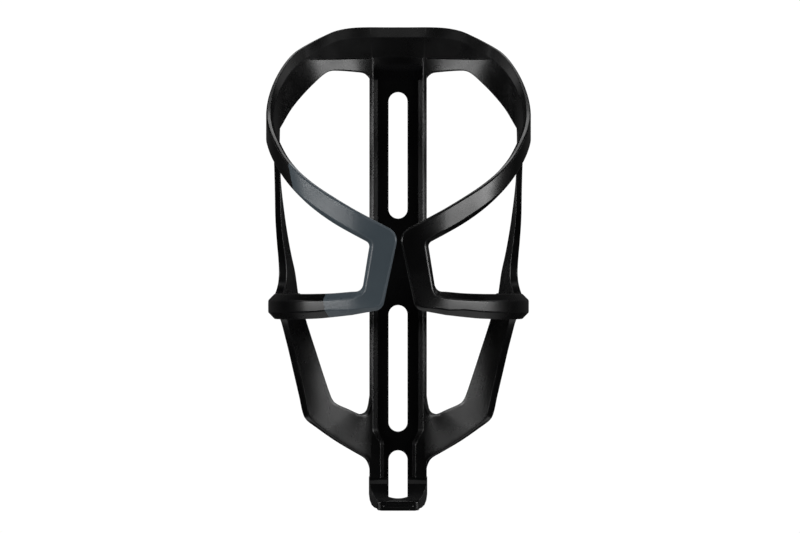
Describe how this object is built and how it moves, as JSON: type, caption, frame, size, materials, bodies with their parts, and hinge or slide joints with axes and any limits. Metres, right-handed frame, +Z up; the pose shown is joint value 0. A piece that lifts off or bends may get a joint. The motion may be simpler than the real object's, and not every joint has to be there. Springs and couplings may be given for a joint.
{
  "type": "bicycle water bottle cage",
  "caption": "Side-gripping bottle cage: slotted channel spine, collar and toe, with two sprung arms that loop round the bottle.",
  "frame": {"origin": "centre of the two-bolt pattern on the rear mounting face", "axes": "+Y towards the bicycle frame, out of the rear face; +Z up the spine; the bottle is on the -Y side"},
  "size_m": [0.0774, 0.0802, 0.1444],
  "materials": {
    "black_nylon": "satin moulded, fine grain",
    "slate_nylon": "satin, slate grey"
  },
  "bodies": {
    "spine": {"spine_plate": "black_nylon", "left_rail": "black_nylon", "right_rail": "black_nylon", "head_plate": "black_nylon", "toe_shelf": "black_nylon", "toe_lip": "black_nylon"},
    "left_arm": {"left_collar": "black_nylon", "left_upper_band": "black_nylon", "left_accent_band": "slate_nylon", "left_front_upright": "slate_nylon", "left_lower_accent": "slate_nylon", "left_lower_band": "black_nylon", "left_stay": "black_nylon", "left_strut": "black_nylon"},
    "right_arm": {"right_collar": "black_nylon", "right_upper_band": "black_nylon", "right_front_band": "black_nylon", "right_front_upright": "black_nylon", "right_lower_band": "black_nylon", "right_stay": "black_nylon", "right_strut": "black_nylon"}
  },
  "joints": [
    {"name": "left_arm_flex", "type": "hinge", "parent": "spine", "child": "left_arm", "pos_m": [-0.0086, 0, 0], "axis": [0, 0, -1], "range_deg": [0, 4], "stiffness_Nm_per_rad": 8},
    {"name": "right_arm_flex", "type": "hinge", "parent": "spine", "child": "right_arm", "pos_m": [0.0086, 0, 0], "axis": [0, 0, 1], "range_deg": [0, 4], "stiffness_Nm_per_rad": 8}
  ]
}
